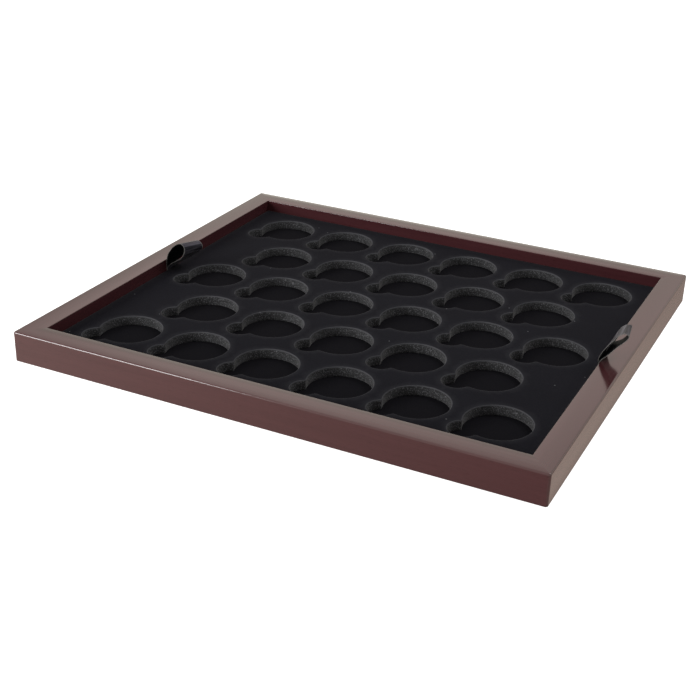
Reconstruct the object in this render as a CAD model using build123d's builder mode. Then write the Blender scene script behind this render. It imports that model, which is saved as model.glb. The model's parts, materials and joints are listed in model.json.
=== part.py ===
from build123d import *

import os
from math import atan2, cos, degrees, radians, sin, sqrt

# Coin capsule tray: a mitred, lacquered frame with a lift-out insert of flocked foam.
# Millimetres. X runs along the long rails, Y to the back and Z up.
# The origin lies under the middle of the frame, on the surface that the tray stands on.

# Pockets, one for each capsule
capsule_diameter = 46.0
pocket_clearance = 0.6
pocket_pitch = 57.4
row_pitch = 59.7
long_row_count = 6
row_count = 5
notch_radius = 10.5
notch_reach = 25.3
notch_angle = 227.4
notch_blend = 1.8

# Flocked border from the outermost pockets to the insert's edges
left_border = 16.8
right_border = 13.2
front_border = 19.2
back_border = 12.2

# Layers of the insert, from the top down
rim_above_insert = 9.3
flock_thickness = 0.6
foam_thickness = 6.8
lining_thickness = 0.4
board_thickness = 1.0
insert_gap = 1.0

# Frame and base
rail_width = 17.2
corner_round = 2.0
top_round = 1.4
bottom_round = 0.8
inner_round = 0.4
rabbet_width = 8.0
panel_thickness = 3.0
panel_clearance = 0.5
panel_recess = 1.0
felt_thickness = 0.8
felt_inset = 2.0

# Hidden joinery
spline_reach = 6.0
spline_thickness = 3.0
spline_height = 11.0
pin_width = 1.2
pin_thickness = 1.0
pin_length = 12.0
pin_point = 1.6
pin_head_width = 2.4
pin_head_height = 0.6
pin_clearance = 0.05
long_rail_pins = 4
short_rail_pins = 3
pin_end_margin = 40.0

# Ribbons
ribbon_width = 16.0
ribbon_thickness = 0.4
ribbon_bend = 0.6
tail_length = 42.0
neck_radius = 0.5
neck_clearance = 0.2
left_ribbon_y = 0.0
left_loop_reach = 24.5
left_loop_round = 5.5
left_loop_lean = 39.0
right_ribbon_y = -7.0
right_loop_reach = 23.5
right_loop_round = 4.5
right_loop_lean = 35.0
rail_clearance = 0.3
tape_thickness = 0.3
tape_length = 20.0
tape_width = 34.0

# Heights that follow from the layers
panel_top = panel_recess + panel_thickness
ribbon_bottom = panel_top + tape_thickness
board_bottom = ribbon_bottom + 2 * ribbon_thickness
lining_bottom = board_bottom + board_thickness
foam_bottom = lining_bottom + lining_thickness
insert_top = foam_bottom + foam_thickness + flock_thickness
tray_height = insert_top + rim_above_insert

# Plan sizes that follow from the pockets
pocket_radius = (capsule_diameter + pocket_clearance) / 2
insert_length = left_border + (long_row_count - 1) * pocket_pitch + 2 * pocket_radius + right_border
insert_width = front_border + (row_count - 1) * row_pitch + 2 * pocket_radius + back_border
well_length = insert_length + 2 * insert_gap
well_width = insert_width + 2 * insert_gap
tray_length = well_length + 2 * rail_width
tray_width = well_width + 2 * rail_width
panel_length = well_length + 2 * (rabbet_width - panel_clearance)
panel_width = well_width + 2 * (rabbet_width - panel_clearance)

# Pocket centres: long rows and rows that are one pocket shorter take turns, half a pitch apart
first_x = -insert_length / 2 + left_border + pocket_radius
first_y = -insert_width / 2 + front_border + pocket_radius
pocket_places = [
    (first_x + (place + row % 2 / 2) * pocket_pitch, first_y + row * row_pitch)
    for row in range(row_count)
    for place in range(long_row_count - row % 2)
]

# Panel pins stand over the middle of the rabbet, their heads along the rail
pin_line_x = (well_length + rabbet_width) / 2
pin_line_y = (well_width + rabbet_width) / 2
long_pin_step = (well_length - 2 * pin_end_margin) / (long_rail_pins - 1)
short_pin_step = (well_width - 2 * pin_end_margin) / (short_rail_pins - 1)
pin_places = [
    Location((pin_end_margin - well_length / 2 + i * long_pin_step, side * pin_line_y, panel_recess))
    for side in (-1, 1)
    for i in range(long_rail_pins)
] + [
    Location(
        (side * pin_line_x, pin_end_margin - well_width / 2 + i * short_pin_step, panel_recess),
        (0, 0, 90),
    )
    for side in (-1, 1)
    for i in range(short_rail_pins)
]

os.makedirs("parts", exist_ok=True)


def keep(piece, name):
    """Label a finished piece and write its STEP file."""
    piece.part.label = name
    export_step(piece.part, f"parts/{name}.step")


def panel_pin(clearance=0.0):
    """A pin of flat wire that stands on its head, or with a clearance the room that it takes."""
    half_width = pin_width / 2 + clearance
    with BuildPart() as pin:
        Box(
            pin_head_width + 2 * clearance,
            pin_thickness + 2 * clearance,
            pin_head_height,
            align=(Align.CENTER, Align.CENTER, Align.MIN),
        )
        with BuildSketch(Plane.XZ):
            with BuildLine():
                Polyline(
                    (-half_width, 0),
                    (half_width, 0),
                    (half_width, pin_length - pin_point),
                    (0, pin_length + clearance),
                    (-half_width, pin_length - pin_point),
                    close=True,
                )
            make_face()
        extrude(amount=pin_thickness / 2 + clearance, both=True)
    return pin.part


# Hardwood splines, hidden inside the four mitres, each square to its mitre
spline_x = (tray_length - rail_width) / 2
spline_y = (tray_width - rail_width) / 2
spline_middle = (panel_top + tray_height) / 2
spline_corners = [(x, y) for x in (-1, 1) for y in (-1, 1)]
with BuildPart() as mitre_splines:
    with Locations(
        *[
            Location((x * spline_x, y * spline_y, spline_middle), (0, 0, -45 * x * y))
            for x, y in spline_corners
        ]
    ):
        Box(2 * spline_reach, spline_thickness, spline_height)
keep(mitre_splines, "mitre_splines")

# Frame before its mitres are cut: a rounded ring with the rabbet for the base underneath
with BuildPart() as frame_blank:
    with BuildSketch():
        RectangleRounded(tray_length, tray_width, corner_round)
        Rectangle(well_length, well_width, mode=Mode.SUBTRACT)
    extrude(amount=tray_height)
    with BuildSketch():
        Rectangle(well_length + 2 * rabbet_width, well_width + 2 * rabbet_width)
    extrude(amount=panel_top, mode=Mode.SUBTRACT)
    top_face = frame_blank.faces().sort_by(Axis.Z)[-1]
    fillet(top_face.outer_wire().edges(), top_round)
    top_face = frame_blank.faces().sort_by(Axis.Z)[-1]
    fillet(top_face.inner_wires()[0].edges(), inner_round)
    bottom_face = frame_blank.faces().sort_by(Axis.Z)[0]
    fillet(bottom_face.outer_wire().edges(), bottom_round)

# Panel pins, and the room for them that the panel and the rails share
with BuildPart() as panel_pins:
    with Locations(*pin_places):
        add(panel_pin())
keep(panel_pins, "panel_pins")
with BuildPart() as pin_rooms:
    with Locations(*pin_places):
        add(panel_pin(pin_clearance))

# Rails: each is the stretch of the frame between two mitres, from outer corners to well corners
outer_x, outer_y = tray_length / 2, tray_width / 2
inner_x, inner_y = well_length / 2, well_width / 2
rail_plans = {
    "front_rail": [(-outer_x, -outer_y), (outer_x, -outer_y), (inner_x, -inner_y), (-inner_x, -inner_y)],
    "back_rail": [(-outer_x, outer_y), (-inner_x, inner_y), (inner_x, inner_y), (outer_x, outer_y)],
    "left_rail": [(-outer_x, -outer_y), (-inner_x, -inner_y), (-inner_x, inner_y), (-outer_x, outer_y)],
    "right_rail": [(outer_x, -outer_y), (outer_x, outer_y), (inner_x, inner_y), (inner_x, -inner_y)],
}
for rail_name, rail_plan in rail_plans.items():
    with BuildPart() as rail:
        add(frame_blank.part)
        with BuildSketch():
            with BuildLine():
                Polyline(*rail_plan, close=True)
            make_face()
        extrude(amount=tray_height, mode=Mode.INTERSECT)
        add(mitre_splines.part, mode=Mode.SUBTRACT)
        add(pin_rooms.part, mode=Mode.SUBTRACT)
    keep(rail, rail_name)

# Base panel, let into the rabbets and pinned up into the rails
with BuildPart() as base_panel:
    with Locations((0, 0, panel_recess)):
        Box(panel_length, panel_width, panel_thickness, align=(Align.CENTER, Align.CENTER, Align.MIN))
    add(pin_rooms.part, mode=Mode.SUBTRACT)
keep(base_panel, "base_panel")

# Felt on the underside of the panel, clear of the surface below
with BuildPart() as base_felt:
    with Locations((0, 0, panel_recess)):
        Box(
            panel_length - 2 * felt_inset,
            panel_width - 2 * felt_inset,
            felt_thickness,
            align=(Align.CENTER, Align.CENTER, Align.MAX),
        )
keep(base_felt, "base_felt")

# Board that carries the foam
with BuildPart() as insert_board:
    with Locations((0, 0, board_bottom)):
        Box(insert_length, insert_width, board_thickness, align=(Align.CENTER, Align.CENTER, Align.MIN))
keep(insert_board, "insert_board")

# Velvet lining, the floor of every pocket
with BuildPart() as pocket_lining:
    with Locations((0, 0, lining_bottom)):
        Box(insert_length, insert_width, lining_thickness, align=(Align.CENTER, Align.CENTER, Align.MIN))
keep(pocket_lining, "pocket_lining")

# One pocket as the die cuts it, drawn with the notch along X: a round for the capsule, a smaller
# one for the thumb, and on each side a blend that touches both
blend_x = (
    notch_reach**2 + (pocket_radius + notch_blend) ** 2 - (notch_radius + notch_blend) ** 2
) / (2 * notch_reach)
blend_y = sqrt((pocket_radius + notch_blend) ** 2 - blend_x**2)
pocket_end = degrees(atan2(blend_y, blend_x))
notch_end = degrees(atan2(blend_y, blend_x - notch_reach))
pocket_plane = Plane(
    origin=(0, 0, foam_bottom),
    x_dir=(cos(radians(notch_angle)), sin(radians(notch_angle)), 0),
    z_dir=(0, 0, 1),
)
with BuildPart() as pocket_cut:
    with BuildSketch(pocket_plane):
        with BuildLine():
            CenterArc((0, 0), pocket_radius, pocket_end, 360 - 2 * pocket_end)
            CenterArc((blend_x, -blend_y), notch_blend, 180 - notch_end, notch_end - pocket_end)
            CenterArc((notch_reach, 0), notch_radius, -notch_end, 2 * notch_end)
            CenterArc((blend_x, blend_y), notch_blend, 180 + pocket_end, notch_end - pocket_end)
        make_face()
    extrude(amount=foam_thickness + flock_thickness)

# Foam sheet with its flocked skin, which is bonded on before the die cuts through both
with BuildPart() as foam_core:
    with Locations((0, 0, foam_bottom)):
        Box(
            insert_length,
            insert_width,
            foam_thickness + flock_thickness,
            align=(Align.CENTER, Align.CENTER, Align.MIN),
        )
    with Locations(*pocket_places):
        add(pocket_cut.part, mode=Mode.SUBTRACT)
keep(foam_core, "foam_core")

# Ribbons: side of the tray, middle in Y, height of the neck, and the loop's reach, round and lean.
# The left ribbon stands out of the gap at the insert's own level, the right one above the rail.
neck_rise = neck_radius + neck_clearance
ribbons = {
    "left": (-1, left_ribbon_y, insert_top, left_loop_reach, left_loop_round, left_loop_lean),
    "right": (1, right_ribbon_y, tray_height, right_loop_reach, right_loop_round, right_loop_lean),
}
for ribbon_name, (side, ribbon_y, tail_top, reach, loop_round, lean) in ribbons.items():
    gap_middle = side * (insert_length + insert_gap) / 2
    tail_outside = gap_middle + side * ribbon_thickness
    tail_inside = gap_middle - side * ribbon_thickness
    tail_end = side * (insert_length / 2 - tail_length)

    # Doubled tail: down the gap, round the board's edge and in under the board
    with BuildPart() as ribbon_tail:
        with BuildSketch(Plane.XZ.offset(-ribbon_y)) as tail_side:
            with BuildLine():
                Polyline(
                    (tail_outside, ribbon_bottom),
                    (tail_outside, tail_top),
                    (tail_inside, tail_top),
                    (tail_inside, board_bottom),
                    (tail_end, board_bottom),
                    (tail_end, ribbon_bottom),
                    close=True,
                )
            make_face()
            outer_bend = tail_side.vertices().group_by(Axis.Z)[0].sort_by(Axis.X)
            fillet(outer_bend[-1] if side > 0 else outer_bend[0], ribbon_bend)
        extrude(amount=ribbon_width / 2, both=True)
    keep(ribbon_tail, f"{ribbon_name}_ribbon_tail")

    # Tape over the tail's end, stuck to the board on both sides of the ribbon
    with BuildPart() as anchor_tape:
        with BuildSketch(Plane.YZ.offset(tail_end)):
            with Locations((ribbon_y, board_bottom)):
                Rectangle(tape_width, tape_thickness, align=(Align.CENTER, Align.MAX))
                Rectangle(
                    ribbon_width + 2 * tape_thickness,
                    board_bottom - panel_top,
                    align=(Align.CENTER, Align.MAX),
                )
                Rectangle(
                    ribbon_width,
                    board_bottom - ribbon_bottom,
                    align=(Align.CENTER, Align.MAX),
                    mode=Mode.SUBTRACT,
                )
        extrude(amount=side * tape_length)
    keep(anchor_tape, f"{ribbon_name}_anchor_tape")

    # Free loop: the ribbon runs from the neck round the loop's end and back
    neck_x = side * (well_length / 2 - rail_clearance - neck_radius)
    loop_plane = Plane(
        origin=(neck_x, ribbon_y, tail_top + neck_rise),
        x_dir=(cos(radians(lean)), 0, -sin(radians(lean))),
        z_dir=(0, -1, 0),
    )
    with BuildPart() as ribbon_loop:
        with BuildSketch(loop_plane):
            Circle(neck_radius)
            with Locations((0, reach)):
                Circle(loop_round)
            make_hull()
            offset(amount=-ribbon_thickness, mode=Mode.SUBTRACT)
        extrude(amount=ribbon_width / 2, both=True)
    keep(ribbon_loop, f"{ribbon_name}_ribbon_loop")
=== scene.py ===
import json
import math

import bmesh
import bpy
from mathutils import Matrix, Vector, noise
from mathutils.geometry import delaunay_2d_cdt


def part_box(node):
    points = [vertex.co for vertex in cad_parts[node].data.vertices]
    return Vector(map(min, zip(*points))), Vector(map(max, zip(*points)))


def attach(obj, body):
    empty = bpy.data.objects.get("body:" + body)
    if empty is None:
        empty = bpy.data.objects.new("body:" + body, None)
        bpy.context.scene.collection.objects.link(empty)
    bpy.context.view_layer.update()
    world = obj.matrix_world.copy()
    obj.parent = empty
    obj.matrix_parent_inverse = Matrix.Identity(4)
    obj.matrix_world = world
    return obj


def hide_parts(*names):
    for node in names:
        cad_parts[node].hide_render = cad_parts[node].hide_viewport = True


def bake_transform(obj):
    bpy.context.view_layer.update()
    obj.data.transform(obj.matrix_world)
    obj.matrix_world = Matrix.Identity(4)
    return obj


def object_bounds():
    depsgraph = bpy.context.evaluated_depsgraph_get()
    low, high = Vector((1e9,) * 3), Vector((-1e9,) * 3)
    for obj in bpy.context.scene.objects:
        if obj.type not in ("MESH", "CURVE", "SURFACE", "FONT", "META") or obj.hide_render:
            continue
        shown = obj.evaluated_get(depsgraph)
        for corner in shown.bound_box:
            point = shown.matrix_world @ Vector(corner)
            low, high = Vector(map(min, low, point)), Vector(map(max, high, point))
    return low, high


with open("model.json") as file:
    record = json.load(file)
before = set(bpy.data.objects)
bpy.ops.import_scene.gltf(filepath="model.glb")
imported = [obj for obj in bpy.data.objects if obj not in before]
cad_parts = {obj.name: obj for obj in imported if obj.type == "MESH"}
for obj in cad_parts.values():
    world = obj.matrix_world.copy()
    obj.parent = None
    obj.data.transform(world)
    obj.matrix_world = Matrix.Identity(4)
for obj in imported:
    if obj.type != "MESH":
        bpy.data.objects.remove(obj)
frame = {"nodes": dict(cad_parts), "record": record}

bl_info = {
    "name": "Coin capsule tray",
    "version": (1, 0, 0),
    "blender": (4, 5, 0),
    "location": "View3D > Sidebar > Tray",
    "description": "Dresses a lacquered coin capsule tray with its flocked insert and ribbons",
    "category": "Object",
}

MM = 0.001
CAD_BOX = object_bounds()
RAILS = ("front_rail", "back_rail", "left_rail", "right_rail")

# Inputs of a colour Mix node: the second colour's share, and the two colours.
SHARE, FIRST, SECOND = 0, 6, 7

SMOOTHING = "smooth but for arrises"  # name of the shading group that the carried-over nodes share
ARRIS_ANGLE = math.radians(32)  # edges sharper than this stay crisp
WELD_DISTANCE = 0.00001

# The insert's cut edges, and the highlight painted along them, in millimetres unless a line says otherwise.
HIGHLIGHT_LINE = 0.3  # width of the pale line, a painted sheen highlight along each cut rim
BLOOM = 2.4  # width of the fainter painted highlight beside that line
BLOOM_SHARE = 0.12  # strength of the bloom against the line
ROLL = 1.2  # width over which the flock rolls down to a cut
RIBBON_SLOT = 4.5  # edge left bare on each side of a ribbon
CORNER_STEP = 0.6  # distance between points round the insert's corners

# The cut walls wander in fine waves and in broader, weaker ones, counted per millimetre.
FINE_WAVES = 0.9
BROAD_WAVES, BROAD_WAVES_UP = 0.25, 0.5
BROAD_SHARE = 0.8
SWELL_WAVES = 0.03  # slow rise and fall of the insert's top

# The grid on the insert's top, in shares of its step.
ROW_STEP = 0.87
GRID_MARGIN = 0.7

# The ribbon's edges, in shares of its thickness, and its smoothed path.
EDGE_THICKNESS = 0.35
SELVEDGE_CORD = 1.25
STEPS_PER_KEY = 12

# The camera that was fitted to the photograph's view: metres, degrees and millimetres.
CAMERA_PLACE = (0.36489471, -0.79970313, 0.40992745)
CAMERA_TURN = (63.98404, -1.55840, 26.34631)
CAMERA_LENS, CAMERA_SENSOR = 64.62514, 36.0


def pocket_centres():
    """Centre of each pocket and of its thumb notch, in millimetres."""
    record = frame["record"]
    openings = {o["name"]: o["box_m"] for o in record["physics"]["openings"]}
    pairs = []
    for mount in record["mounts"]:
        if not mount["name"].startswith("pocket_row"):
            continue
        low, high = openings[mount["name"].replace("pocket", "thumb_notch")]
        centre = Vector(mount["pos_m"][:2]) / MM
        notch = (Vector(low[:2]) + Vector(high[:2])) / 2 / MM
        pairs.append((centre, notch))
    return pairs


CENTRES = pocket_centres()


# Colour and node helpers

def linear(hex_colour):
    """Turn an sRGB hex value into linear red, green, blue and alpha."""
    parts = [int(hex_colour[i:i + 2], 16) / 255 for i in (1, 3, 5)]
    return [p / 12.92 if p <= 0.04045 else ((p + 0.055) / 1.055) ** 2.4 for p in parts] + [1.0]


def add(tree, kind, values=None, **settings):
    """Add a node; values fill its inputs with numbers or with links from other nodes."""
    node = tree.nodes.new(kind)
    for name, value in settings.items():
        setattr(node, name, value)
    for name, value in (values or {}).items():
        if isinstance(value, bpy.types.NodeSocket):
            tree.links.new(value, node.inputs[name])
        else:
            node.inputs[name].default_value = value
    return node


def new_material(name):
    """A material without nodes, and its node tree."""
    made = bpy.data.materials.new(name)
    made.use_nodes = True
    made.node_tree.nodes.clear()
    return made, made.node_tree


def finish_material(made, shader):
    """Join the shader to the material's output."""
    add(made.node_tree, "ShaderNodeOutputMaterial", {"Surface": shader.outputs[0]})
    return made


def stretched(tree, size_mm):
    """Object coordinates divided by the size of one pattern feature along x, y and z."""
    place = add(tree, "ShaderNodeTexCoord")
    scale = [1 / (s * MM) for s in size_mm]
    return add(tree, "ShaderNodeMapping", {"Vector": place.outputs["Object"], "Scale": scale}).outputs[0]


def mottled(tree, size_mm, grain, dark, light):
    """A surface mottled by noise of one feature size: the noise, and the mix of two colours by it."""
    mottle = add(tree, "ShaderNodeTexNoise", {"Vector": stretched(tree, size_mm), "Scale": 1.0, **grain})
    mixed = add(tree, "ShaderNodeMix", {SHARE: mottle.outputs["Fac"], FIRST: dark, SECOND: light},
                data_type="RGBA")
    return mottle.outputs["Fac"], mixed.outputs[2]


def specked(tree, size_mm, start, full, strength, under, colour):
    """Specks laid over a colour where noise of their size climbs from start to full."""
    specks = add(tree, "ShaderNodeTexNoise", {
        "Vector": stretched(tree, size_mm), "Scale": 1.0, "Detail": 1.0})
    share = add(tree, "ShaderNodeMapRange", {
        "Value": specks.outputs["Fac"], "From Min": start, "From Max": full, "To Max": strength})
    mixed = add(tree, "ShaderNodeMix", {SHARE: share.outputs[0], FIRST: under, SECOND: colour},
                data_type="RGBA")
    return specks.outputs["Fac"], mixed.outputs[2]


# Materials

def lacquered_mahogany(settings, along):
    """Mahogany, stained dark red and sprayed with gloss lacquer.

    The stain shows as a deep brown red with faint bands of figure and fine dark pores that run
    along the rail; the lacquer over it mirrors the room with a slight orange peel. Sanding let
    each top fall off towards its arrises, so it mirrors the room a little brighter on one side."""
    made, tree = new_material(f"stained mahogany in gloss lacquer, grain along {along}")
    # Bands of figure are 5 mm wide. Pores are 0.2 mm wide in the wood, and are drawn 0.5 mm wide
    # because finer ones don't show. The lacquer's peel has waves of 4 mm.
    figure_size = (110, 5, 5) if along == "x" else (5, 110, 5)
    pore_size = (5, 0.5, 0.5) if along == "x" else (0.5, 5, 0.5)
    peel_size = (4, 4, 4)
    _, wood = mottled(tree, figure_size, {"Detail": 3.0, "Roughness": 0.6},
                      settings.stain_dark, settings.stain_light)
    _, grained = specked(tree, pore_size, 0.6, 0.75, 0.3, wood, linear("#200c0e"))

    # The fall of the tops grows as the square of the distance from the flat strip in the middle.
    place = add(tree, "ShaderNodeTexCoord")
    split = add(tree, "ShaderNodeSeparateXYZ", {0: place.outputs["Object"]})
    outer, across = (CAD_BOX[1].y, "Y") if along == "x" else (CAD_BOX[1].x, "X")
    rail_low, rail_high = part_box("front_rail")
    middle = outer - (rail_high.y - rail_low.y) / 2
    reach = add(tree, "ShaderNodeMath", {0: split.outputs[across]}, operation="ABSOLUTE")
    off = add(tree, "ShaderNodeMath", {0: reach.outputs[0], 1: middle}, operation="SUBTRACT")
    aside = add(tree, "ShaderNodeMath", {0: off.outputs[0]}, operation="ABSOLUTE")
    past = add(tree, "ShaderNodeMath", {0: aside.outputs[0], 1: settings.flat_width / 2},
               operation="SUBTRACT")
    sanded = add(tree, "ShaderNodeMath", {0: past.outputs[0], 1: 0.0}, operation="MAXIMUM")
    crown = add(tree, "ShaderNodeMath", {0: sanded.outputs[0], 1: sanded.outputs[0]}, operation="MULTIPLY")
    crown_rise = settings.long_crown if along == "x" else settings.short_crown
    round_over = add(tree, "ShaderNodeBump", {
        "Height": crown.outputs[0], "Strength": 1.0, "Distance": crown_rise}, invert=True)

    peel = add(tree, "ShaderNodeTexNoise", {
        "Vector": stretched(tree, peel_size), "Scale": 1.0, "Detail": 1.0})
    skin = add(tree, "ShaderNodeBump", {
        "Height": peel.outputs["Fac"], "Strength": 0.025, "Distance": 0.0002,
        "Normal": round_over.outputs[0]})
    shader = add(tree, "ShaderNodeBsdfPrincipled", {
        "Base Color": grained, "Roughness": 0.5, "Specular IOR Level": 0.0,
        "Coat Weight": 1.0, "Coat Roughness": settings.gloss_roughness, "Coat IOR": 1.52,
        "Normal": skin.outputs[0], "Coat Normal": skin.outputs[0]})
    return finish_material(made, shader)


def sanded_beech():
    """Beech, planed and sanded, left bare: pale, matt, with short dark flecks along the grain."""
    made, tree = new_material("bare beech")
    # Growth bands are 1.2 mm wide. Flecks are 3 mm long and 0.5 mm wide.
    _, wood = mottled(tree, (40, 1.2, 1.2), {"Detail": 4.0}, linear("#a9825a"), linear("#c9a57b"))
    fleck, flecked = specked(tree, (3, 0.5, 0.5), 0.62, 0.72, 0.5, wood, linear("#7b5636"))
    bump = add(tree, "ShaderNodeBump", {"Height": fleck, "Strength": 0.2, "Distance": 0.0001})
    shader = add(tree, "ShaderNodeBsdfPrincipled", {
        "Base Color": flecked, "Roughness": 0.62, "Normal": bump.outputs[0]})
    return finish_material(made, shader)


def drawn_steel():
    """Low-carbon steel wire, drawn and cut: a bright grey metal with fine scratches lengthwise."""
    made, tree = new_material("drawn steel wire")
    # The die's scratches are hundredths of a millimetre wide, and are drawn 0.2 mm wide to show.
    marks = add(tree, "ShaderNodeTexNoise", {
        "Vector": stretched(tree, (0.2, 0.2, 3)), "Scale": 1.0, "Detail": 2.0})
    rough = add(tree, "ShaderNodeMapRange", {
        "Value": marks.outputs["Fac"], "To Min": 0.25, "To Max": 0.5})
    shader = add(tree, "ShaderNodeBsdfPrincipled", {
        "Base Color": linear("#b9b7b2"), "Metallic": 1.0, "Roughness": rough.outputs[0]})
    return finish_material(made, shader)


def needled_felt():
    """Wool felt, needled and pressed: matt near-black with matted fibres and a soft edge sheen."""
    made, tree = new_material("needled felt")
    # Wool is 0.03 mm thick, too fine to show, so its matted clumps are drawn, 0.8 mm across.
    fibres, cloth = mottled(tree, (0.8, 0.8, 0.8), {"Detail": 6.0, "Distortion": 1.5},
                            linear("#131315"), linear("#26262a"))
    bump = add(tree, "ShaderNodeBump", {"Height": fibres, "Strength": 0.6, "Distance": 0.0004})
    shader = add(tree, "ShaderNodeBsdfPrincipled", {
        "Base Color": cloth, "Roughness": 0.95, "Sheen Weight": 0.25, "Sheen Roughness": 0.5,
        "Specular IOR Level": 0.2, "Normal": bump.outputs[0]})
    return finish_material(made, shader)


def greyboard():
    """Uncoated grey board of recycled fibre: matt grey with darker flecks."""
    made, tree = new_material("uncoated greyboard")
    # Flecks of old print and pulp are up to 1.5 mm across.
    _, board = mottled(tree, (1.5, 1.5, 1.5), {"Detail": 5.0}, linear("#6f6b65"), linear("#958f86"))
    shader = add(tree, "ShaderNodeBsdfPrincipled", {"Base Color": board, "Roughness": 0.85})
    return finish_material(made, shader)


def short_velvet(settings):
    """Cotton velvet, short pile: almost black, since the pile swallows the light between its hairs."""
    made, tree = new_material("short-pile velvet")
    # Tufts are 0.3 mm across, and are drawn 0.7 mm across because finer ones don't show.
    pile, cloth = mottled(tree, (0.7, 0.7, 0.7), {"Detail": 4.0}, linear("#0b0b0e"), settings.velvet)
    bump = add(tree, "ShaderNodeBump", {"Height": pile, "Strength": 0.5, "Distance": 0.0003})
    shader = add(tree, "ShaderNodeBsdfPrincipled", {
        "Base Color": cloth, "Roughness": 0.95, "Specular IOR Level": 0.05,
        "Sheen Weight": 0.01, "Sheen Roughness": 0.4, "Normal": bump.outputs[0]})
    return finish_material(made, shader)


def cut_foam(settings):
    """Closed-cell polyethylene foam, die cut: charcoal walls with open cells as light specks."""
    made, tree = new_material("die-cut closed-cell foam")
    # Cells are 0.9 mm across and torn ones 0.8 mm. The die leaves level bands 1.1 mm high.
    cells = add(tree, "ShaderNodeTexVoronoi", {"Vector": stretched(tree, (0.9, 0.9, 0.9)), "Scale": 1.0})
    _, body = mottled(tree, (30, 30, 1.1), {"Detail": 2.0}, settings.foam_dark, settings.foam_light)
    _, speckled = specked(tree, (0.8, 0.8, 0.8), 0.52, 0.72, 0.9, body, settings.foam_speck)
    bump = add(tree, "ShaderNodeBump", {
        "Height": cells.outputs["Distance"], "Strength": 0.5, "Distance": 0.0004})
    shader = add(tree, "ShaderNodeBsdfPrincipled", {
        "Base Color": speckled, "Roughness": 0.85, "Specular IOR Level": 0.1,
        "Sheen Weight": 0.12, "Sheen Roughness": 0.5, "Normal": bump.outputs[0]})
    return finish_material(made, shader)


def nylon_flock(settings):
    """Nylon flock, laid electrostatically: soft black with a faint bloom where it is seen edge-on.

    A pale line and a fainter bloom along each cut rim are painted into its colour as a sheen highlight.
    """
    made, tree = new_material("nylon flock")
    # Hairs are 0.02 mm thick, too fine to show, so their clumps are drawn, 0.8 mm across.
    # Brushing leaves clouds 35 mm wide.
    hairs = add(tree, "ShaderNodeTexNoise", {
        "Vector": stretched(tree, (0.8, 0.8, 0.8)), "Scale": 1.0, "Detail": 5.0})
    clouds = add(tree, "ShaderNodeTexNoise", {
        "Vector": stretched(tree, (35, 35, 35)), "Scale": 1.0, "Detail": 3.0})
    share = add(tree, "ShaderNodeMath", {0: hairs.outputs["Fac"], 1: clouds.outputs["Fac"]},
                operation="MULTIPLY")
    cloth = add(tree, "ShaderNodeMix", {
        SHARE: share.outputs[0], FIRST: settings.flock_dark, SECOND: settings.flock_light},
        data_type="RGBA")
    # Painted highlight: the flock's sheen along each cut rim, mixed into its colour.
    rim = add(tree, "ShaderNodeAttribute", attribute_name="rim_highlight")
    with_rim_highlight = add(tree, "ShaderNodeMix", {
        SHARE: rim.outputs["Fac"], FIRST: cloth.outputs[2], SECOND: settings.rim}, data_type="RGBA")
    # A speck of lint lies about every 55 mm; 0.008 of that spacing is its radius of 0.44 mm.
    lint = add(tree, "ShaderNodeTexVoronoi", {"Vector": stretched(tree, (55, 55, 55)), "Scale": 1.0},
               voronoi_dimensions="2D")
    speck = add(tree, "ShaderNodeMath", {0: lint.outputs["Distance"], 1: 0.008}, operation="LESS_THAN")
    dusty = add(tree, "ShaderNodeMix", {
        SHARE: speck.outputs[0], FIRST: with_rim_highlight.outputs[2], SECOND: linear("#6b6b6e")}, data_type="RGBA")
    bump = add(tree, "ShaderNodeBump", {"Height": hairs.outputs["Fac"], "Strength": 0.5, "Distance": 0.0003})
    shader = add(tree, "ShaderNodeBsdfPrincipled", {
        "Base Color": dusty.outputs[2], "Roughness": 0.9, "Specular IOR Level": 0.05,
        "Sheen Weight": 0.02, "Sheen Roughness": 0.45, "Normal": bump.outputs[0]})
    return finish_material(made, shader)


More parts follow.
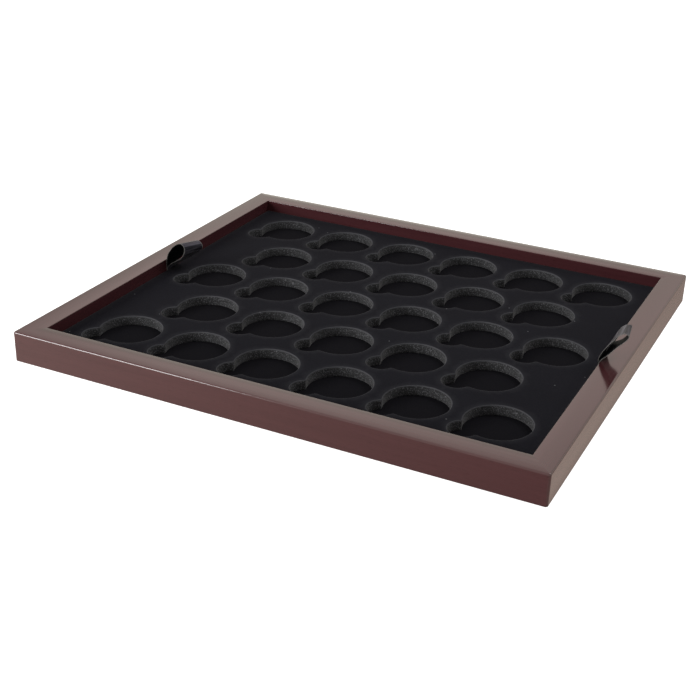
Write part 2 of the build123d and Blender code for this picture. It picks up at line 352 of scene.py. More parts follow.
def satin_ribbon(settings):
    """Polyester satin ribbon, woven: floats lie lengthwise, and creases across them catch the light, which is
    also painted into its colour: lighter along their crests and darker in their folds.

    Its weave coordinates are millimetres along and across; the first is negative on the back,
    which is dull, and painted near-black as the shade inside each loop."""
    made, tree = new_material("woven satin ribbon")
    # Threads are 0.1 mm apart, and their floats are drawn 0.7 mm wide and 12.5 mm long because
    # finer ones don't show. Creases lie 1.4 mm apart and run right across.
    float_scale = (0.08, 1.5, 1.0)
    crease_scale = (0.7, 0.04, 1.0)
    selvedge_width = 0.45
    half_width = settings.width / MM / 2
    place = add(tree, "ShaderNodeUVMap", uv_map="weave")
    threads = add(tree, "ShaderNodeMapping", {"Vector": place.outputs[0], "Scale": float_scale})
    floats = add(tree, "ShaderNodeTexNoise", {"Vector": threads.outputs[0], "Scale": 1.0, "Detail": 3.0})
    folds = add(tree, "ShaderNodeMapping", {"Vector": place.outputs[0], "Scale": crease_scale})
    creases = add(tree, "ShaderNodeTexNoise", {"Vector": folds.outputs[0], "Scale": 1.0, "Detail": 2.0})
    # Painted highlight and shade: the creases' crests are lighter and their folds darker in the colour.
    shine = add(tree, "ShaderNodeMapRange", {
        "Value": creases.outputs["Fac"], "From Min": 0.4, "From Max": 0.68})
    cloth = add(tree, "ShaderNodeMix", {
        SHARE: shine.outputs[0], FIRST: settings.satin_fold_shade, SECOND: settings.satin_crest_highlight},
        data_type="RGBA")
    across = add(tree, "ShaderNodeSeparateXYZ", {0: place.outputs[0]})
    # Painted shade: the back, seen inside each loop, is painted near-black; its lower gloss is real.
    back = add(tree, "ShaderNodeMath", {0: across.outputs["X"], 1: 0.0}, operation="LESS_THAN")
    faced = add(tree, "ShaderNodeMix", {
        SHARE: back.outputs[0], FIRST: cloth.outputs[2], SECOND: settings.satin_back_and_shade}, data_type="RGBA")
    gloss = add(tree, "ShaderNodeMapRange", {"Value": back.outputs[0], "To Min": 0.18, "To Max": 0.02})
    # Painted highlight: the woven edges are painted lighter for the light they catch.
    centre = add(tree, "ShaderNodeMath", {0: across.outputs["Y"], 1: half_width}, operation="SUBTRACT")
    reach = add(tree, "ShaderNodeMath", {0: centre.outputs[0]}, operation="ABSOLUTE")
    edge = add(tree, "ShaderNodeMath", {0: reach.outputs[0], 1: half_width - selvedge_width},
               operation="GREATER_THAN")
    edged = add(tree, "ShaderNodeMix", {
        SHARE: edge.outputs[0], FIRST: faced.outputs[2], SECOND: settings.selvedge_highlight}, data_type="RGBA")
    creased = add(tree, "ShaderNodeBump", {
        "Height": creases.outputs["Fac"], "Strength": 0.9, "Distance": 0.001})
    bump = add(tree, "ShaderNodeBump", {
        "Height": floats.outputs["Fac"], "Strength": 0.3, "Distance": 0.0002, "Normal": creased.outputs[0]})
    shader = add(tree, "ShaderNodeBsdfPrincipled", {
        "Base Color": edged.outputs[2], "Roughness": 0.42, "Specular IOR Level": gloss.outputs[0],
        "Specular Tint": linear("#e2e4ff"), "Sheen Weight": 0.02, "Normal": bump.outputs[0]})
    return finish_material(made, shader)


def crepe_tape():
    """Crepe paper tape: buff, matt, with fine crinkles across its length."""
    made, tree = new_material("crepe paper tape")
    # Crinkles are 0.8 mm wide and 6 mm long.
    crinkle, paper = mottled(tree, (0.8, 6, 0.8), {"Detail": 3.0}, linear("#b79f72"), linear("#d2bd92"))
    bump = add(tree, "ShaderNodeBump", {"Height": crinkle, "Strength": 0.7, "Distance": 0.0003})
    shader = add(tree, "ShaderNodeBsdfPrincipled", {
        "Base Color": paper, "Roughness": 0.7, "Normal": bump.outputs[0]})
    return finish_material(made, shader)


# Mesh helpers

def new_piece(name, work, made):
    """Turn a finished bmesh into an object of the scene."""
    mesh = bpy.data.meshes.new(name)
    work.to_mesh(mesh)
    work.free()
    mesh.materials.append(made)
    piece = bpy.data.objects.new(name, mesh)
    bpy.context.scene.collection.objects.link(piece)
    return piece


def smoothing_group():
    """Node group that shades faces smooth and keeps edges over the arris angle sharp."""
    tree = bpy.data.node_groups.new(SMOOTHING, "GeometryNodeTree")
    tree.interface.new_socket("Geometry", in_out="INPUT", socket_type="NodeSocketGeometry")
    tree.interface.new_socket("Geometry", in_out="OUTPUT", socket_type="NodeSocketGeometry")
    start = add(tree, "NodeGroupInput")
    angle = add(tree, "GeometryNodeInputMeshEdgeAngle")
    gentle = add(tree, "FunctionNodeCompare", {0: angle.outputs[0], 1: ARRIS_ANGLE},
                 data_type="FLOAT", operation="LESS_THAN")
    faces = add(tree, "GeometryNodeSetShadeSmooth", {0: start.outputs[0]}, domain="FACE")
    edges = add(tree, "GeometryNodeSetShadeSmooth", {0: faces.outputs[0], 2: gentle.outputs[0]},
                domain="EDGE")
    add(tree, "NodeGroupOutput", {0: edges.outputs[0]})
    return tree


def dress(node, made):
    """Give a carried-over node its one material, and shade its fillets into its flats."""
    piece = frame["nodes"][node]
    piece.data.materials.clear()
    piece.data.materials.append(made)
    weld = piece.modifiers.new("weld", "WELD")
    weld.merge_threshold = WELD_DISTANCE
    group = bpy.data.node_groups.get(SMOOTHING) or smoothing_group()
    piece.modifiers.new("smooth", "NODES").node_group = group
    weighted = piece.modifiers.new("weighted", "WEIGHTED_NORMAL")
    weighted.keep_sharp = True


def arc(centre, radius, first, last, step, towards):
    """Points of an arc with their normals, which point away from the air of the pocket."""
    count = max(2, math.ceil(abs(last - first) * radius / step))
    points = []
    for i in range(count):
        angle = first + (last - first) * i / count
        ray = Vector((math.cos(angle), math.sin(angle)))
        points.append((centre + ray * radius, ray * towards))
    return points


def pocket_outline(centre, notch, settings):
    """One pocket with its thumb notch; the two corners between them are blended."""
    big, small, blend = settings.pocket_radius / MM, settings.notch_radius / MM, settings.notch_blend / MM
    axis = notch - centre
    reach = axis.length
    turn = math.atan2(axis.y, axis.x)
    x = (reach ** 2 + (big + blend) ** 2 - (small + blend) ** 2) / (2 * reach)
    y = math.sqrt((big + blend) ** 2 - x ** 2)
    at_big = math.atan2(y, x)
    at_small = math.atan2(y, x - reach)
    flip = Vector((math.cos(turn), math.sin(turn)))
    side = Vector((-flip.y, flip.x))
    upper = centre + flip * x + side * y
    lower = centre + flip * x - side * y
    step = settings.outline_step / MM
    points = arc(centre, big, turn + at_big, turn + 2 * math.pi - at_big, step, 1)
    points += arc(lower, blend, turn + math.pi - at_big, turn + math.pi - at_small, step / 2, -1)
    points += arc(notch, small, turn - at_small, turn + at_small, step, 1)
    points += arc(upper, blend, turn + math.pi + at_small, turn + math.pi + at_big, step / 2, -1)
    return points


def sheet_outline(length, width, corner, step):
    """The insert's outer edge, counter-clockwise, with normals that point inwards."""
    points = []
    for sx, sy, start in ((1, 1, 0), (-1, 1, 90), (-1, -1, 180), (1, -1, 270)):
        centre = Vector((sx * (length / 2 - corner), sy * (width / 2 - corner)))
        following = Vector((-sy * (length / 2 - corner), sx * (width / 2 - corner)))
        turned = math.radians(start + 90)
        outward = Vector((math.cos(turned), math.sin(turned)))
        points += arc(centre, corner, math.radians(start), turned, CORNER_STEP, -1)
        begin, end = centre + outward * corner, following + outward * corner
        count = math.ceil((end - begin).length / step)
        points += [(begin.lerp(end, i / count), -outward) for i in range(count)]
    return points


def gap_share(point):
    """1 where the flock may fill the gap to the rails, 0 where a ribbon passes through it."""
    for node in ("left_ribbon_tail", "right_ribbon_tail"):
        low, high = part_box(node)
        beside = (point.x < 0) == (low.x < 0) and abs(point.x) > abs(high.x + low.x) / 2 / MM
        if beside and low.y / MM - RIBBON_SLOT < point.y < high.y / MM + RIBBON_SLOT:
            return 0.0
    return 1.0


def inside(point, ring):
    """Whether a point is inside a closed ring of points."""
    hits = False
    for a, b in zip(ring, ring[1:] + ring[:1]):
        if (a.y > point.y) != (b.y > point.y) and point.x < (b.x - a.x) * (point.y - a.y) / (b.y - a.y) + a.x:
            hits = not hits
    return hits


def fill(rings, grid):
    """Triangles, as indices into the rings' points and then the grid's, that leave the inner rings open."""
    points = [p for ring in rings for p in ring] + grid
    owner, edges = [], []
    for number, ring in enumerate(rings):
        start = len(owner)
        edges += [(start + i, start + (i + 1) % len(ring)) for i in range(len(ring))]
        owner += [number] * len(ring)
    owner += [-1] * len(grid)
    within_rings, merge_distance = 1, 1e-5
    _, _, faces, origin, _, _ = delaunay_2d_cdt(points, edges, [], within_rings, merge_distance)
    triangles = []
    for face in faces:
        corners = [origin[v][0] for v in face]
        owners = {owner[c] for c in corners}
        if len(owners) == 1 and owners != {-1} and owners != {0}:
            ring = rings[owners.pop()]
            if inside(sum((points[c] for c in corners), Vector((0, 0))) / 3, ring):
                continue
        triangles.append(corners)
    return triangles


def clearance(point):
    """Distance in millimetres from a point on the insert to the nearest pocket or notch."""
    settings = bpy.context.scene.tray_insert
    big, small = settings.pocket_radius / MM, settings.notch_radius / MM
    return min(min((point - a).length - big, (point - b).length - small) for a, b in CENTRES)


def grid_points(rings, step):
    """Points about one step apart that stay clear of every ring."""
    outer = rings[0]
    xs, ys = [p.x for p in outer], [p.y for p in outer]
    points = []
    rows = int((max(ys) - min(ys)) / (step * ROW_STEP))
    columns = int((max(xs) - min(xs)) / step)
    for r in range(1, rows):
        y = min(ys) + r * (max(ys) - min(ys)) / rows
        for c in range(1, columns):
            x = min(xs) + (c + (r % 2) / 2) * (max(xs) - min(xs)) / columns
            p = Vector((x, y))
            if x <= max(xs) - step * GRID_MARGIN and clearance(p) > ROLL + step * 0.5:
                points.append(p)
    return points


def pocketed_slab(name, outlines, levels, made, spacing, rough, swell):
    """A closed slab with all pockets cut through it, built level by level from its underside.

    levels are (offset into the slab, height) pairs in millimetres; spacing is the step of the
    top's grid, or None for a plain top; rough is how far the cut walls wander and swell how far
    the top rises and falls. An attribute on each point holds the painted highlight along the cuts:
    a pale line at each cut and a fainter bloom beside it, which the flock's colour takes up."""
    work = bmesh.new()
    rim_highlight = work.verts.layers.float.new("rim_highlight")
    stacks = []
    for offset, z in levels:
        # Painted highlight: a pale line at each cut and a fainter bloom beside it.
        line = math.exp(-(offset / HIGHLIGHT_LINE) ** 2) + BLOOM_SHARE * math.exp(-(offset / BLOOM) ** 2)
        rows = []
        for outline in outlines:
            row = []
            for point, normal in outline:
                fine = Vector((point.x * FINE_WAVES, point.y * FINE_WAVES, z * FINE_WAVES))
                broad = Vector((point.x * BROAD_WAVES, point.y * BROAD_WAVES, z * BROAD_WAVES_UP))
                wander = rough * noise.noise(fine) + rough * BROAD_SHARE * noise.noise(broad)
                p = point + normal * (offset + wander)
                row.append(work.verts.new((p.x * MM, p.y * MM, z * MM)))
                row[-1][rim_highlight] = line
            rows.append(row)
        stacks.append(rows)
    for below, above in zip(stacks, stacks[1:]):
        for number, (low, high) in enumerate(zip(below, above)):
            count = len(low)
            for i in range(count):
                j = (i + 1) % count
                corners = (low[i], low[j], high[j], high[i])
                work.faces.new(corners if number == 0 else corners[::-1])
    for rows, grid_step, up in ((stacks[0], None, False), (stacks[-1], spacing, True)):
        rings = [[Vector((v.co.x, v.co.y)) / MM for v in row] for row in rows]
        grid = grid_points(rings, grid_step) if grid_step else []
        z = rows[0][0].co.z
        flat = [v for row in rows for v in row]
        for p in grid:
            lift = swell * noise.noise(Vector((p.x * SWELL_WAVES, p.y * SWELL_WAVES, 4.0))) * MM
            flat.append(work.verts.new((p.x * MM, p.y * MM, z + lift)))
            # The painted highlight's bloom reaches onto the top beside each pocket.
            flat[-1][rim_highlight] = BLOOM_SHARE * math.exp(-(clearance(p) / BLOOM) ** 2)
        for corners in fill(rings, grid):
            face = work.faces.new([flat[c] for c in corners])
            face.normal_update()
            if (face.normal.z > 0) != up:
                face.normal_flip()
    for face in work.faces:
        face.smooth = True
    return new_piece(name, work, made)


def eased(keys, spacing):
    """Points about one spacing apart on a smooth curve through the keys, which may have any dimension."""
    fine = []
    for i in range(len(keys) - 1):
        before, a = keys[max(i - 1, 0)], keys[i]
        b, after = keys[i + 1], keys[min(i + 2, len(keys) - 1)]
        for step in range(STEPS_PER_KEY):
            t = step / STEPS_PER_KEY
            fine.append([
                0.5 * (2 * q + (r - p) * t + (2 * p - 5 * q + 4 * r - s) * t ** 2
                       + (3 * q - p - 3 * r + s) * t ** 3)
                for p, q, r, s in zip(before, a, b, after)])
    fine.append(list(keys[-1]))
    lengths = [0.0]
    for a, b in zip(fine, fine[1:]):
        lengths.append(lengths[-1] + math.dist(a, b) / math.sqrt(len(a) / 2))
    count = round(lengths[-1] / spacing)
    points, at = [], 0
    for i in range(count + 1):
        goal = lengths[-1] * i / count
        while at < len(lengths) - 2 and lengths[at + 1] < goal:
            at += 1
        t = (goal - lengths[at]) / max(lengths[at + 1] - lengths[at], 1e-9)
        points.append([p + (q - p) * t for p, q in zip(fine[at], fine[at + 1])])
    return points, lengths[-1]


def ribbon(name, keys, near_y, settings, made):
    """One closed band that follows its near and far edges' (x, z) keys, in millimetres.

    Its weave coordinates start 1 mm from 0, so that front and back keep their signs."""
    stations, length = eased(keys, settings.station_step / MM)
    width, half = settings.width / MM, settings.thickness / MM / 2
    # Points across the ribbon lie closer together at its selvedges.
    across = [0.0, 0.02, 0.06, 0.2, 0.35, 0.5, 0.65, 0.8, 0.94, 0.98, 1.0]
    centre = []
    for xn, zn, xf, zf in stations:
        centre.append([Vector((xn, near_y, zn)).lerp(Vector((xf, near_y + width, zf)), t) for t in across])
    work = bmesh.new()
    uv = work.loops.layers.uv.new("weave")
    sides = []
    for sign in (1, -1):
        rows = []
        for i, row in enumerate(centre):
            along = [b - a for a, b in zip(centre[max(i - 1, 0)], centre[min(i + 1, len(centre) - 1)])]
            made_row = []
            for j, point in enumerate(row):
                over = row[min(j + 1, len(row) - 1)] - row[max(j - 1, 0)]
                normal = along[j].cross(over).normalized()
                thinned = 1 if 0 < j < len(row) - 1 else EDGE_THICKNESS
                cord = SELVEDGE_CORD if j in (1, len(row) - 2) else 1.0
                p = point + normal * sign * half * thinned * cord
                made_row.append(work.verts.new(p * MM))
            rows.append(made_row)
        sides.append(rows)
    place = {}
    for rows, facing in zip(sides, (1, -1)):
        for i, row in enumerate(rows):
            for j, vert in enumerate(row):
                place[vert] = (facing * (1.0 + length * i / (len(rows) - 1)), width * across[j])
    top, under = sides
    last, edge = len(top) - 1, len(across) - 1
    for i in range(last):
        for j in range(edge):
            work.faces.new((top[i][j], top[i][j + 1], top[i + 1][j + 1], top[i + 1][j]))
            work.faces.new((under[i][j], under[i + 1][j], under[i + 1][j + 1], under[i][j + 1]))
        work.faces.new((top[i][0], top[i + 1][0], under[i + 1][0], under[i][0]))
        work.faces.new((top[i][edge], under[i][edge], under[i + 1][edge], top[i + 1][edge]))
    for j in range(edge):
        work.faces.new((top[0][j], under[0][j], under[0][j + 1], top[0][j + 1]))
        work.faces.new((top[last][j], top[last][j + 1], under[last][j + 1], under[last][j]))
    bmesh.ops.recalc_face_normals(work, faces=work.faces[:])
    for face in work.faces:
        face.smooth = True
        for loop in face.loops:
            loop[uv].uv = place[loop.vert]
    return new_piece(name, work, made), length


# Settings

def colour_setting(name, description, hex_colour):
    """A colour that a user would change, with its default as an sRGB hex value."""
    return bpy.props.FloatVectorProperty(
        name=name, description=description, default=linear(hex_colour), size=4, min=0.0, max=1.0,
        subtype="COLOR")


class TrayFrameSettings(bpy.types.PropertyGroup):
    stain_dark: colour_setting("Dark stain", "Stained wood in the darker bands", "#3e1e21")
    stain_light: colour_setting("Light stain", "Stained wood in the lighter bands", "#4c292c")
    flat_width: bpy.props.FloatProperty(
        name="Flat width", description="Middle strip of each rail's top that sanding left flat",
        default=0.002, unit="LENGTH")
    long_crown: bpy.props.FloatProperty(
        name="Long crown", description="How strongly the long rails' tops fall off from that strip",
        default=9.5, min=0.0)
    short_crown: bpy.props.FloatProperty(
        name="Short crown", description="How strongly the short rails' tops fall off from that strip",
        default=4.0, min=0.0)
    gloss_roughness: bpy.props.FloatProperty(
        name="Lacquer roughness", description="How blurred the lacquer's reflections are",
        default=0.14, min=0.0, max=1.0, subtype="FACTOR")


class TrayInsertSettings(bpy.types.PropertyGroup):
    pocket_radius: bpy.props.FloatProperty(
        name="Pocket radius", description="Half the width of one pocket", default=0.0233, unit="LENGTH")
    notch_radius: bpy.props.FloatProperty(
        name="Thumb notch radius", description="Radius of the notch's round end", default=0.0105,
        unit="LENGTH")
    notch_blend: bpy.props.FloatProperty(
        name="Notch blend", description="Radius between pocket and notch", default=0.0018, unit="LENGTH")
    outline_step: bpy.props.FloatProperty(
        name="Outline step", description="Distance between points of the cut", default=0.0014, unit="LENGTH")
    corner: bpy.props.FloatProperty(
        name="Corner radius", description="Rounding of the insert's corners in plan", default=0.0022,
        unit="LENGTH")
    skin: bpy.props.FloatProperty(
        name="Skin thickness", description="Flocked skin over the foam", default=0.0008, unit="LENGTH")
    pile: bpy.props.FloatProperty(
        name="Pile", description="How far the flock's tips stand above the solid", default=0.0002,
        unit="LENGTH")
    fringe: bpy.props.FloatProperty(
        name="Fringe", description="How far the flock reaches into the gap beside the rails", default=0.00055,
        unit="LENGTH")
    flock_dark: colour_setting("Dark flock", "Flock in its hollows", "#0e0e14")
    flock_light: colour_setting("Light flock", "Flock on its tips", "#1d1e25")
    # Painted highlight: the pale colour of the flock's sheen along each cut rim.
    rim: colour_setting("Cut edge", "Flock thinned by the cut along each rim", "#525255")
    foam_dark: colour_setting("Dark foam", "Darker bands of the cut walls", "#262627")
    foam_light: colour_setting("Light foam", "Lighter bands of the cut walls", "#3a3a3b")
    foam_speck: colour_setting("Open cells", "Torn open cells on the cut walls", "#6c6c6f")
    velvet: colour_setting("Velvet", "Pocket floors", "#15151a")


class TrayRibbonSettings(bpy.types.PropertyGroup):
    width: bpy.props.FloatProperty(
        name="Width", description="Width of the ribbon", default=0.016, unit="LENGTH")
    thickness: bpy.props.FloatProperty(
        name="Thickness", description="Thickness of one ply", default=0.00034, unit="LENGTH")
    station_step: bpy.props.FloatProperty(
        name="Step", description="Distance between points along the ribbon", default=0.001, unit="LENGTH")
    # Painted shade and highlight: the satin's colour in the creases' folds and along their crests.
    satin_fold_shade: colour_setting("Dark satin", "Satin in the folds of its creases", "#101015")
    satin_crest_highlight: colour_setting("Light satin", "Satin along the crests of its creases", "#56545b")
    # Painted shade: the dull back is painted near-black, as the shade inside each loop.
    satin_back_and_shade: colour_setting("Ribbon back", "Dull back of the ribbon, inside each loop", "#08080a")
    # Painted highlight: the woven edges' colour, lighter for the light they catch.
    selvedge_highlight: colour_setting("Selvedge", "Woven edge of the ribbon", "#716f6c")


class TrayStageSettings(bpy.types.PropertyGroup):
    key_power: bpy.props.FloatProperty(
        name="Key power", description="Softbox at the upper left", default=12.0, unit="POWER")
    back_power: bpy.props.FloatProperty(
        name="Back power", description="Softbox high behind on the right", default=3.0, unit="POWER")
    fill_level: bpy.props.FloatProperty(
        name="Fill", description="Even light from the tent round the tray", default=0.38, min=0.0)
    tent_level: bpy.props.FloatProperty(
        name="Tent", description="How bright the tent is in the lacquer's reflections", default=1.08, min=0.0)


# Pieces

class TRAY_OT_frame(bpy.types.Operator):
    """Finish the four rails in gloss lacquer"""
    bl_idname = "tray.frame"
    bl_label = "Lacquered frame"

    def execute(self, context):
        settings = context.scene.tray_frame
        long_grain = lacquered_mahogany(settings, "x")
        short_grain = lacquered_mahogany(settings, "y")
        for node in RAILS:
            dress(node, long_grain if node in ("front_rail", "back_rail") else short_grain)
        return {"FINISHED"}


class TRAY_OT_base(bpy.types.Operator):
    """Finish the base panel, splines, pins and felt"""
    bl_idname = "tray.base"
    bl_label = "Base and fixings"

    def execute(self, context):
        beech = sanded_beech()
        dress("base_panel", beech)
        dress("mitre_splines", beech)
        dress("panel_pins", drawn_steel())
        dress("base_felt", needled_felt())
        return {"FINISHED"}


class TRAY_OT_carrier(bpy.types.Operator):
    """Finish the card, the velvet lining and the tapes under the foam"""
    bl_idname = "tray.carrier"
    bl_label = "Card, lining and tapes"

    def execute(self, context):
        dress("insert_board", greyboard())
        dress("pocket_lining", short_velvet(context.scene.tray_insert))
        tape = crepe_tape()
        dress("left_anchor_tape", tape)
        dress("right_anchor_tape", tape)
        return {"FINISHED"}


class TRAY_OT_foam(bpy.types.Operator):
    """Build the die-cut foam sheet and the flocked skin on it"""
    bl_idname = "tray.foam"
    bl_label = "Foam sheet and flock"

    def execute(self, context):
        settings = context.scene.tray_insert
        low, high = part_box("foam_core")
        length, width = (high[0] - low[0]) / MM, (high[1] - low[1]) / MM
        bottom, top = low[2] / MM, high[2] / MM
        edge_step, grid_step = 4.0, 4.0
        outlines = [sheet_outline(length, width, settings.corner / MM, edge_step)]
        brushed = [[(p - n * settings.fringe / MM * gap_share(p), n) for p, n in outlines[0]]]
        outlines += [pocket_outline(centre, notch, settings) for centre, notch in CENTRES]

        # The foam swells back once the die has cut it, most of all halfway down its walls.
        bulge, courses = 0.12, 8
        foam_rough, flock_rough, flock_swell = 0.16, 0.03, 0.12
        seam = top - settings.skin / MM
        depth = seam - bottom
        walls = [(-bulge * math.sin(math.pi * i / courses), bottom + depth * i / courses)
                 for i in range(courses + 1)]
        foam = pocketed_slab("foam_sheet", outlines, walls, cut_foam(settings), None, foam_rough, 0.0)

        # The flock stands a hair back from the foam's wall at the seam, and rolls over each rim.
        tips = top + settings.pile / MM
        rolled = [(0.02, seam), (0.0, top - 0.5), (0.03, tips - 0.3), (0.2, tips - 0.1),
                  (0.6, tips - 0.02), (ROLL, tips)]
        flock = pocketed_slab("flocked_face", brushed + outlines[1:], rolled, nylon_flock(settings),
                              grid_step, flock_rough, flock_swell)
        for piece, slot in ((foam, "charcoal_foam"), (flock, "black_flock")):
            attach(piece, "insert")
            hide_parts("foam_core")
        return {"FINISHED"}


# Each loop's near and far edge as (x, z, x, z) keys in millimetres. The left one runs from its
# ply beside the rail over the top and back to the ply beside the insert, and the right one the
# other way.
LEFT_LOOP = (
    (-182.5, 13.0, -182.5, 13.0), (-182.5, 18.0, -182.2, 17.2), (-182.3, 22.6, -179.2, 20.6),
    (-181.1, 27.8, -174.8, 24.8), (-178.4, 32.1, -171.0, 29.2), (-175.6, 35.6, -168.3, 33.4),
    (-172.5, 38.0, -166.2, 36.8), (-169.5, 39.3, -163.0, 38.3), (-166.9, 38.8, -160.5, 38.2),
    (-165.3, 37.1, -158.7, 36.9), (-164.8, 34.8, -157.5, 34.9), (-165.1, 32.5, -157.8, 32.5),
    (-166.0, 29.9, -159.8, 30.3), (-167.8, 27.5, -162.6, 27.9), (-170.4, 25.3, -166.2, 25.3),
    (-173.5, 23.4, -170.6, 22.4), (-176.5, 21.4, -174.8, 19.4), (-179.5, 19.1, -178.7, 16.8),
    (-181.3, 17.3, -181.1, 15.1), (-182.0, 15.2, -182.0, 14.1), (-182.08, 13.0, -182.08, 13.0),
)
RIGHT_LOOP = (
    (182.0, 20.5, 182.08, 20.5), (181.2, 24.2, 182.3, 24.2), (182.7, 29.0, 183.9, 29.6),
    (186.2, 35.3, 186.6, 36.0), (190.4, 41.1, 188.9, 41.2), (192.4, 44.1, 191.2, 45.1),
    (194.7, 46.3, 193.8, 47.4), (197.7, 47.7, 196.2, 48.3), (200.2, 46.7, 197.9, 48.0),
    (200.1, 44.8, 197.9, 46.0), (198.8, 42.7, 197.2, 42.9), (196.2, 39.8, 194.9, 38.8),
    (193.1, 36.4, 192.0, 35.8), (190.1, 32.4, 188.8, 34.0), (187.1, 28.5, 186.1, 31.8),
    (183.8, 25.0, 183.8, 27.0), (182.4, 22.5, 182.4, 22.5),
)


def tail(side, outer, top):
    """Keys of one ply, from its taped end under the board up into the gap beside the insert."""
    x, z = (182.5, 4.5) if outer else (182.08, 4.9)
    keys = [(140, z), (155, z), (170, z), (178, z), (180.6, z + 0.15), (x - 0.35, z + 0.9), (x, z + 2.2),
            (x, z + 4.5)]
    keys += [(x, h) for h in (12.0, 15.0, 18.0) if h < top]
    return [(side * a, b, side * a, b) for a, b in keys]


class TRAY_OT_ribbons(bpy.types.Operator):
    """Build the two satin ribbons, each in one length from under the board and back"""
    bl_idname = "tray.ribbons"
    bl_label = "Satin ribbons"

    def execute(self, context):
        settings = context.scene.tray_ribbon
        made = satin_ribbon(settings)
        half = settings.width / 2
        left_top, right_top = 12.5, 20.0
        # Each bend starts above the insert, so that the ends under the board stay where they are.
        plans = (
            ("left", tail(-1, True, left_top) + list(LEFT_LOOP) + tail(-1, False, left_top)[::-1], 0.0,
             (-0.182, 0.0, 0.021), (-0.182, 0.0, 0.031)),
            ("right", tail(1, False, right_top) + list(RIGHT_LOOP) + tail(1, True, right_top)[::-1], -0.007,
             (0.182, -0.007, 0.0232), (0.1845, -0.007, 0.0293)),
        )
        for side, keys, middle, start, end in plans:
            piece, length = ribbon(f"{side}_ribbon", keys, (middle - half) / MM, settings, made)
            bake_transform(piece)
            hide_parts(f"{side}_ribbon_tail", f"{side}_ribbon_loop")
        return {"FINISHED"}


# Stage

def paper_floor():
    """Matt white paper sweep: burns out to white for the eye, keeps the tray's shadow.

    The lacquer mirrors it as a warm grey that falls off to the right, and brighter again just
    past the tray, where the side of the right rail sees it."""
    made, tree = new_material("matt white paper")
    path = add(tree, "ShaderNodeLightPath")
    paper = add(tree, "ShaderNodeBsdfDiffuse", {"Color": linear("#f2f2f2")})
    burn = add(tree, "ShaderNodeMapRange", {
        "Value": path.outputs["Is Camera Ray"], "To Min": 0.2, "To Max": 0.8})
    glow = add(tree, "ShaderNodeEmission", {"Strength": burn.outputs[0]})
    seen = add(tree, "ShaderNodeAddShader", {0: paper.outputs[0], 1: glow.outputs[0]})
    place = add(tree, "ShaderNodeTexCoord")
    split = add(tree, "ShaderNodeSeparateXYZ", {0: place.outputs["Object"]})
    level = add(tree, "ShaderNodeMapRange", {
        "Value": split.outputs["X"], "From Min": -0.2, "From Max": 0.25, "To Min": 1.12, "To Max": 0.36})
    warmth = add(tree, "ShaderNodeMapRange", {
        "Value": split.outputs["X"], "From Min": -0.2, "From Max": 0.2})
    tint = add(tree, "ShaderNodeMix", {
        SHARE: warmth.outputs[0], FIRST: linear("#fff7e8"), SECOND: linear("#ffe9da")}, data_type="RGBA")
    beyond = add(tree, "ShaderNodeMapRange", {
        "Value": split.outputs["X"], "From Min": 0.198, "From Max": 0.204, "To Max": 1.0})
    nearby = add(tree, "ShaderNodeMapRange", {
        "Value": split.outputs["Y"], "From Min": -0.2, "From Max": 0.2, "To Min": 0.3, "To Max": 0.04})
    beside = add(tree, "ShaderNodeMath", {0: beyond.outputs[0], 1: nearby.outputs[0]},
                 operation="MULTIPLY")
    glare = add(tree, "ShaderNodeMath", {0: level.outputs[0], 1: beside.outputs[0]}, operation="ADD")
    mirrored = add(tree, "ShaderNodeEmission", {"Color": tint.outputs[2], "Strength": glare.outputs[0]})
    shader = add(tree, "ShaderNodeMixShader", {
        0: path.outputs["Is Glossy Ray"], 1: seen.outputs[0], 2: mirrored.outputs[0]})
    return finish_material(made, shader)


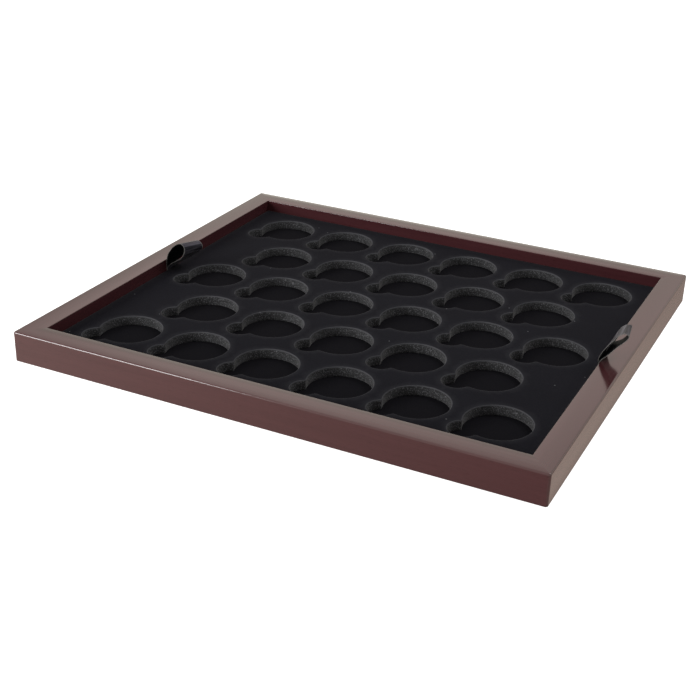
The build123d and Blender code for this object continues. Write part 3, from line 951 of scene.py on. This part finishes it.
class TRAY_OT_stage(bpy.types.Operator):
    """Set up the floor, the lamps, the world and the camera"""
    bl_idname = "tray.stage"
    bl_label = "Floor, light and camera"

    def execute(self, context):
        settings = context.scene.tray_stage
        scene = context.scene
        work = bmesh.new()
        bmesh.ops.create_grid(work, x_segments=8, y_segments=8, size=3.0)
        floor = new_piece("paper_floor", work, paper_floor())

        # A light tent: white for the eye, an even fill for matt surfaces, and for mirrors a bright
        # horizon, a brighter panel overhead, and dimmer walls at the far left and to the right.
        world = bpy.data.worlds.new("white tent")
        scene.world = world
        world.use_nodes = True
        tree = world.node_tree
        tree.nodes.clear()
        plain_white = (1, 1, 1, 1)
        path = add(tree, "ShaderNodeLightPath")
        white = add(tree, "ShaderNodeBackground", {"Color": plain_white, "Strength": 1.0})
        place = add(tree, "ShaderNodeTexCoord")
        split = add(tree, "ShaderNodeSeparateXYZ", {0: place.outputs["Generated"]})
        height = add(tree, "ShaderNodeMapRange", {
            "Value": split.outputs["Z"], "From Min": 0.05, "From Max": 0.28,
            "To Min": settings.tent_level * 1.8, "To Max": settings.tent_level},
            interpolation_type="SMOOTHSTEP")
        panel = add(tree, "ShaderNodeMapRange", {
            "Value": split.outputs["Z"], "From Min": 0.34, "From Max": 0.44,
            "To Max": settings.tent_level * 0.42}, interpolation_type="SMOOTHSTEP")
        both = add(tree, "ShaderNodeMath", {0: height.outputs[0], 1: panel.outputs[0]}, operation="ADD")
        side = add(tree, "ShaderNodeMapRange", {
            "Value": split.outputs["X"], "From Min": -0.62, "From Max": -0.5, "To Min": 0.7})
        ahead = add(tree, "ShaderNodeMapRange", {
            "Value": split.outputs["X"], "From Min": -0.36, "From Max": -0.2, "To Min": 1.0, "To Max": 0.86})
        dim = add(tree, "ShaderNodeMath", {0: side.outputs[0], 1: ahead.outputs[0]}, operation="MULTIPLY")
        level = add(tree, "ShaderNodeMath", {0: both.outputs[0], 1: dim.outputs[0]}, operation="MULTIPLY")
        warm = add(tree, "ShaderNodeMapRange", {
            "Value": split.outputs["Z"], "From Min": 0.3, "From Max": 0.42})
        tint = add(tree, "ShaderNodeMix", {
            SHARE: warm.outputs[0], FIRST: linear("#f9f5e8"), SECOND: linear("#ffeee6")},
            data_type="RGBA")
        tent = add(tree, "ShaderNodeBackground", {"Color": tint.outputs[2], "Strength": level.outputs[0]})
        fill_light = add(tree, "ShaderNodeBackground", {
            "Color": plain_white, "Strength": settings.fill_level})
        mirrored = add(tree, "ShaderNodeMath", {
            0: path.outputs["Is Glossy Ray"], 1: path.outputs["Is Transmission Ray"]}, operation="MAXIMUM")
        unseen = add(tree, "ShaderNodeMixShader", {
            0: mirrored.outputs[0], 1: fill_light.outputs[0], 2: tent.outputs[0]})
        seen = add(tree, "ShaderNodeMixShader", {
            0: path.outputs["Is Camera Ray"], 1: unseen.outputs[0], 2: white.outputs[0]})
        add(tree, "ShaderNodeOutputWorld", {"Surface": seen.outputs[0]})

        for name, place, size, power in (
                ("key_softbox", (-0.75, -0.95, 0.31), (0.5, 0.5), settings.key_power),
                ("back_softbox", (0.5, 0.4, 0.85), (0.4, 0.4), settings.back_power)):
            data = bpy.data.lights.new(name, "AREA")
            data.shape = "RECTANGLE"
            data.size, data.size_y = size
            data.energy = power
            lamp = bpy.data.objects.new(name, data)
            scene.collection.objects.link(lamp)
            lamp.location = place
            lamp.rotation_euler = (-Vector(place)).to_track_quat("-Z", "Y").to_euler()

        data = bpy.data.cameras.new("camera")
        data.lens, data.sensor_width = CAMERA_LENS, CAMERA_SENSOR
        camera = bpy.data.objects.new("camera", data)
        scene.collection.objects.link(camera)
        camera.location = CAMERA_PLACE
        camera.rotation_euler = [math.radians(a) for a in CAMERA_TURN]
        scene.camera = camera
        scene.view_settings.view_transform = "Standard"
        return {"FINISHED"}


# Panel and registration

class TRAY_PT_panel(bpy.types.Panel):
    """Lists the steps that dress the tray"""
    bl_idname = "TRAY_PT_panel"
    bl_label = "Coin capsule tray"
    bl_space_type = "VIEW_3D"
    bl_region_type = "UI"
    bl_category = "Tray"

    def draw(self, context):
        for settings in GROUPS:
            group = getattr(context.scene, settings)
            for key in group.bl_rna.properties.keys():
                if key not in ("rna_type", "name"):
                    self.layout.prop(group, key)
        for operator in STEPS:
            self.layout.operator(operator.bl_idname)


GROUPS = {
    "tray_frame": TrayFrameSettings,
    "tray_insert": TrayInsertSettings,
    "tray_ribbon": TrayRibbonSettings,
    "tray_stage": TrayStageSettings,
}
STEPS = (TRAY_OT_frame, TRAY_OT_base, TRAY_OT_carrier, TRAY_OT_foam, TRAY_OT_ribbons, TRAY_OT_stage)


def register():
    for made in (*GROUPS.values(), *STEPS, TRAY_PT_panel):
        bpy.utils.register_class(made)
    for name, made in GROUPS.items():
        setattr(bpy.types.Scene, name, bpy.props.PointerProperty(type=made))


def unregister():
    for name in GROUPS:
        delattr(bpy.types.Scene, name)
    for made in (TRAY_PT_panel, *reversed(STEPS), *reversed(GROUPS.values())):
        bpy.utils.unregister_class(made)


def main():
    register()
    bpy.ops.tray.frame()
    bpy.ops.tray.base()
    bpy.ops.tray.carrier()
    bpy.ops.tray.foam()
    bpy.ops.tray.ribbons()
    bpy.ops.tray.stage()


if __name__ == "__main__":
    main()
